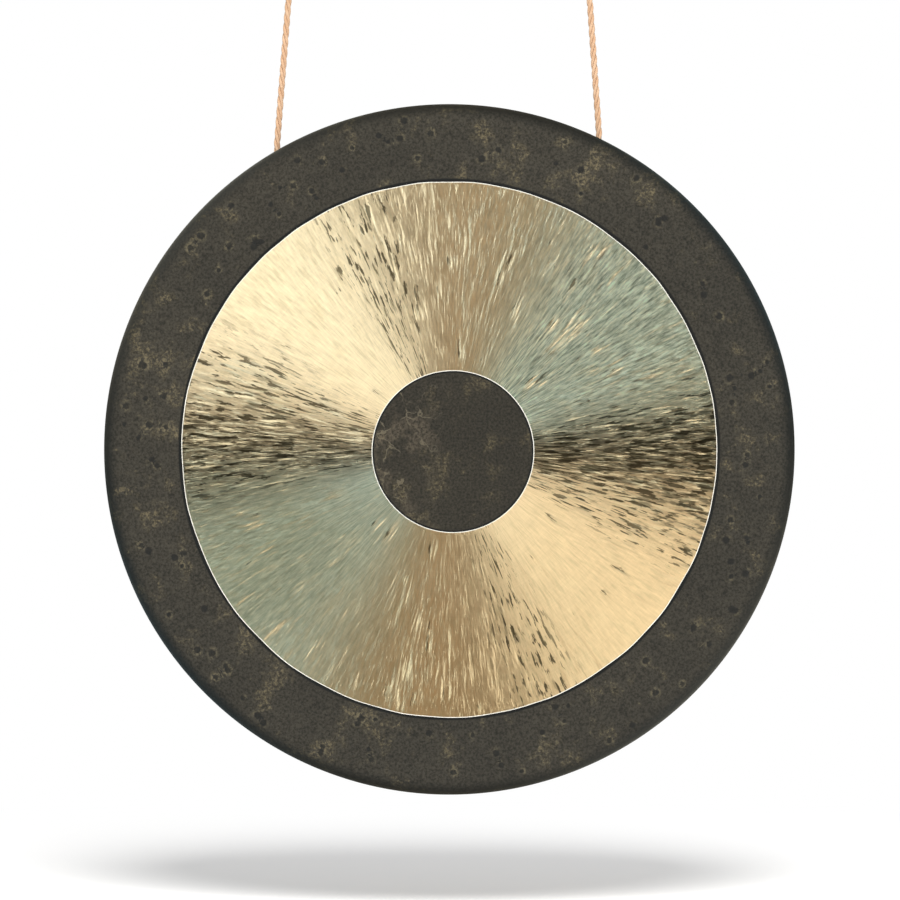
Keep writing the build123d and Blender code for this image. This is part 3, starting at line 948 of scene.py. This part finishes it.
def lathed_bronze():
    """Bright turned bronze: tool marks over the hammer dents, and a shine drawn out along each radius."""
    bronze = Material("lathed_bronze", Metallic=1.0, Anisotropic=1.0, Anisotropic_Rotation=0.25)
    x, _, z = bronze.split(bronze.object_point())
    flat = bronze.vector(x, 0.0, z)
    r = bronze.length(flat)
    away = bronze.node("ShaderNodeVectorMath", 0, {0: flat}, operation="NORMALIZE")

    # Noise on the direction away from the middle and a little of the radius makes long radial marks.
    polar = bronze.shift(away, bronze.vector(0.0, bronze.times(r, 0.75), 0.0))
    fine_streak = bronze.noise(polar, 60.0, 3.0, 0.6)
    wide_polar = bronze.shift(away, bronze.vector(0.0, bronze.times(r, 0.9), 0.0))
    wide_streak = bronze.noise(wide_polar, 20.0, 2.0, 0.5)
    fibre = bronze.noise(bronze.shift(polar, (0.0, 7.0, 0.0)), 95.0, 3.0, 0.6)

    # A little of the direction and much of the radius makes the turning tool's rings, broken here and there.
    rings = bronze.noise(bronze.vector(r, 0.0, 0.0), 900.0, 3.0, 0.7)
    ring_place = bronze.shift(bronze.stretch(away, (0.35, 0.35, 0.35)),
                              bronze.vector(0.0, bronze.times(r, 110.0), 0.0))
    broken_rings = bronze.noise(ring_place, 6.0, 3.0, 0.6)

    # The base colour drifts from pale at the upper left to deep gold at the lower right.
    cloud = bronze.noise(flat, 9.0, 3.0, 0.55)
    tarnish = bronze.noise(flat, 34.0, 4.0, 0.6)
    aside = bronze.math("SUBTRACT", bronze.math("MULTIPLY_ADD", cloud, 0.12, x), bronze.math("ADD", z, 0.06))
    colour = bronze.mix(bronze.step(aside, -0.30, 0.32), (0.82, 0.68, 0.475), (0.69, 0.51, 0.305))
    colour = bronze.mix(bronze.step(tarnish, 0.5, 0.8, 0.0, 0.35), colour, (0.70, 0.55, 0.33))
    low_left = bronze.step(bronze.length(bronze.shift(flat, (0.20, 0.0, 0.07))), 0.17, 0.03)
    colour = bronze.darken(low_left, colour, (0.80, 0.75, 0.66))

    # Brushed grain multiplied into the colour: partly real grain, partly painted reflection streaks where the
    # band mirrors the cyan panels.
    grain_and_painted_reflection = bronze.node("ShaderNodeAttribute", 2, attribute_name="grain_and_painted_reflection")
    grain_and_reflection_strength = bronze.math("MULTIPLY_ADD", grain_and_painted_reflection, 2.6, 0.4)
    tool = bronze.math("MULTIPLY_ADD", bronze.math("SUBTRACT", broken_rings, 0.5), 0.16, 1.0)
    tool = bronze.math("MULTIPLY_ADD", bronze.math("SUBTRACT", fibre, 0.5), grain_and_reflection_strength, tool)
    colour = bronze.mix(1.0, colour, bronze.vector(tool, tool, tool), "MULTIPLY")
    colour = paint_band_reflections(bronze, colour, polar)
    # Painted shade: darker in the valleys of the fine streaks that the bump below raises.
    colour = bronze.mix(bronze.step(fine_streak, 0.50, 0.32, 0.0, 0.30), colour, (0.42, 0.34, 0.20))
    roughness = bronze.math("MULTIPLY_ADD", cloud, 0.06, 0.32)

    # Heights grow with the radius, so that the marks are as steep at the edge as near the boss.
    spread = bronze.times(r, 5.0)
    normal = bronze.bump(bronze.times(wide_streak, spread), 0.0016, 0.6)
    normal = bronze.bump(bronze.times(fine_streak, spread), 0.0009, 0.6, normal)
    normal = bronze.bump(rings, 0.00003, 0.5, normal)
    tangent = bronze.node("ShaderNodeTangent", 0, direction_type="RADIAL", axis="Y")
    bronze.plug(tangent, bronze.bsdf.inputs["Tangent"])
    return bronze.finish(colour, roughness, normal)


NEAR_BLACK = (0.006, 0.006, 0.006)


def wear_boss(oxide, colour, place, from_boss, large, patch, speckle):
    """The boss: a little darker, rubbed and finely cracked towards its left side."""
    bx, _, _ = oxide.split(place)
    on_boss = oxide.step(from_boss, 0.076, 0.074)
    colour = oxide.darken(on_boss, colour, (0.80, 0.79, 0.77))
    worn_side = oxide.step(oxide.math("MULTIPLY_ADD", large, 0.10, bx), 0.062, 0.0)
    rubbed = oxide.step(oxide.noise(place, 30.0, 4.0, 0.6), 0.47, 0.6)
    worn = oxide.times(rubbed, oxide.step(speckle, 0.38, 0.6), worn_side, on_boss)
    colour = oxide.mix(oxide.times(worn, 0.6), colour, (0.105, 0.085, 0.060))
    wander = oxide.node("ShaderNodeTexNoise", 1, {"Vector": place, "Scale": 60.0, "Detail": 3.0})
    bent = oxide.shift(place, oxide.stretch(wander, (0.03, 0.03, 0.03)))
    cell_edge = oxide.node("ShaderNodeTexVoronoi", 0, {"Vector": bent, "Scale": 38.0},
                           feature="DISTANCE_TO_EDGE")
    crack = oxide.times(oxide.step(cell_edge, 0.035, 0.012), oxide.step(patch, 0.46, 0.58))
    crack = oxide.times(crack, worn_side, on_boss)
    return oxide.mix(oxide.times(crack, 0.7), colour, (0.125, 0.107, 0.074))


def dark_bronze():
    """The forged skin: near-black oxide, mottled with olive where it is rubbed thin, with dark pits."""
    oxide = Material("oxidised_bronze", Specular_IOR_Level=0.2)
    point = oxide.object_point()
    x, _, z = oxide.split(point)
    r = oxide.length(oxide.vector(x, 0.0, z))
    large = oxide.noise(point, 10.0, 3.0, 0.55)
    patch = oxide.noise(point, 42.0, 4.0, 0.6, 0.4)
    speckle = oxide.noise(point, 330.0, 4.0, 0.7)
    grain = oxide.noise(point, 430.0, 3.0, 0.7)
    colour = oxide.mix(large, (0.0175, 0.0162, 0.0138), (0.039, 0.035, 0.0275))
    thin = oxide.step(oxide.math("MULTIPLY_ADD", large, 0.5, patch), 0.78, 0.96)
    rubbed = oxide.times(thin, oxide.step(speckle, 0.42, 0.62))
    colour = oxide.mix(oxide.times(rubbed, 0.6), colour, (0.135, 0.112, 0.068))
    flecks = oxide.mix(oxide.step(grain, 0.28, 0.72), (0.45, 0.45, 0.45), (1.6, 1.57, 1.5))
    colour = oxide.mix(1.0, colour, flecks, "MULTIPLY")

    # Pits, each with a dark floor and a speckled pale ring round it.
    px, pz, _ = oxide.split(oxide.node("ShaderNodeAttribute", "Vector", attribute_name="pit"))
    ragged = oxide.times(oxide.math("SUBTRACT", speckle, 0.5), 0.9)
    pit = oxide.math("ADD", oxide.length(oxide.vector(px, pz, 0.0)), ragged)
    halo = oxide.times(oxide.step(pit, 2.3, 1.3), oxide.step(speckle, 0.40, 0.60))
    halo = oxide.times(halo, oxide.step(patch, 0.40, 0.60, 0.0, 0.6))
    colour = oxide.mix(halo, colour, (0.135, 0.115, 0.072))
    colour = oxide.mix(oxide.step(pit, 1.25, 0.7, 0.0, 0.85), colour, (0.010, 0.0095, 0.009))

    # The tool's cut beside the band, the shoulder, and the cut round the boss are darker; on the shoulder
    # this is painted shade, where it turns back from the light.
    from_band = oxide.math("ABSOLUTE", oxide.math("SUBTRACT", r, (BAND_RADIUS + 1.2) * MM))
    colour = oxide.mix(oxide.step(from_band, 0.0022, 0.0008), colour, NEAR_BLACK)
    # Painted shade: the shoulder darkens towards its edge, where it turns back from the light.
    colour = oxide.darken(oxide.step(r, 0.3145, 0.3280), colour, (0.22, 0.23, 0.24))
    bx = oxide.math("SUBTRACT", x, BOSS_OFFSET[0] * MM)
    bz = oxide.math("SUBTRACT", z, BOSS_OFFSET[1] * MM)
    place = oxide.vector(bx, bz, 0.0)
    from_boss = oxide.length(place)
    boss_edge = oxide.times(oxide.step(from_boss, 0.0742, 0.0756), oxide.step(from_boss, 0.079, 0.078))
    colour = oxide.mix(boss_edge, colour, NEAR_BLACK)
    colour = wear_boss(oxide, colour, place, from_boss, large, patch, speckle)

    roughness = oxide.math("MULTIPLY_ADD", speckle, 0.25, 0.45)
    fine_height = oxide.math("MULTIPLY_ADD", speckle, 0.25, oxide.times(grain, 0.10))
    height = oxide.math("ADD", oxide.times(oxide.step(pit, 1.2, 0.3), -1.0), fine_height)
    return oxide.finish(colour, roughness, oxide.bump(height, 0.0007, 0.6))


def lip_painted_highlight():
    """The step that the turning tool leaves along the edges of the band, coloured near white as a painted
    highlight.
    """
    lip = Material("lip_painted_highlight", Metallic=0.2)
    glint = lip.noise(lip.object_point(), 260.0, 2.0)
    # Painted highlight: the step is given a near white colour, as if catching the light all round.
    colour = lip.mix(glint, (0.80, 0.76, 0.66), (0.92, 0.90, 0.84))
    return lip.finish(colour, lip.math("MULTIPLY_ADD", glint, 0.2, 0.3))


def store(piece, name, kind, field, values):
    """Keep a value at each point of a piece, for its materials to read."""
    attribute = piece.data.attributes.new(name, kind, "POINT")
    attribute.data.foreach_set(field, values.astype(np.float32).ravel())


def mark_surface(piece, points):
    """Where the strokes, the front's painted dark reflections, its brushed grain with painted reflection
    streaks, and the pits are.
    """
    theta, r = np.arctan2(points[:, 2], points[:, 0]), np.hypot(points[:, 0], points[:, 2])
    front = points[:, 1] < face_depth(r) + 1.5
    on_band = (r > BOSS_RADIUS + 4) & (r < BAND_RADIUS - 4) & front
    stroke = np.zeros(len(points))
    stroke[on_band] = stroke_dents(theta[on_band], r[on_band])
    store(piece, "stroke", "FLOAT", "value", stroke)
    polished = (r > BOSS_RADIUS - 4) & (r < BAND_RADIUS + 4) & front
    # The band's painted dark reflections, and its brushed grain with painted reflection streaks.
    store(piece, "painted_dark_reflection", "FLOAT", "value", np.where(polished, round_band(PAINTED_DARK_REFLECTION, theta), 0))
    store(piece, "grain_and_painted_reflection", "FLOAT", "value", np.where(polished, round_band(GRAIN_AND_PAINTED_REFLECTION, theta), 0.2))
    on_rim = (r > BAND_RADIUS + 1) & (points[:, 1] < SHOULDER_START_Y + 1)
    pit = np.full((len(points), 3), 9.0)
    pit[on_rim, :2] = pit_places(theta[on_rim], r[on_rim])
    pit[on_rim, 2] = 0
    store(piece, "pit", "FLOAT_VECTOR", "vector", pit)


def make_gong():
    """The whole bronze as one mesh: boss, band, rim and turned edge, with its two cord holes."""
    points, faces, kinds = gong_mesh()
    materials = [dark_bronze(), lathed_bronze(), lip_painted_highlight()]
    gong = mesh_object("tam_tam", points, faces, materials, "gong")
    gong.data.polygons.foreach_set("material_index", kinds)
    mark_surface(gong, points)
    cut_cord_holes(gong)
    gong.data.set_sharp_from_angle(angle=radians(50))
    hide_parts("gong")


make_gong()
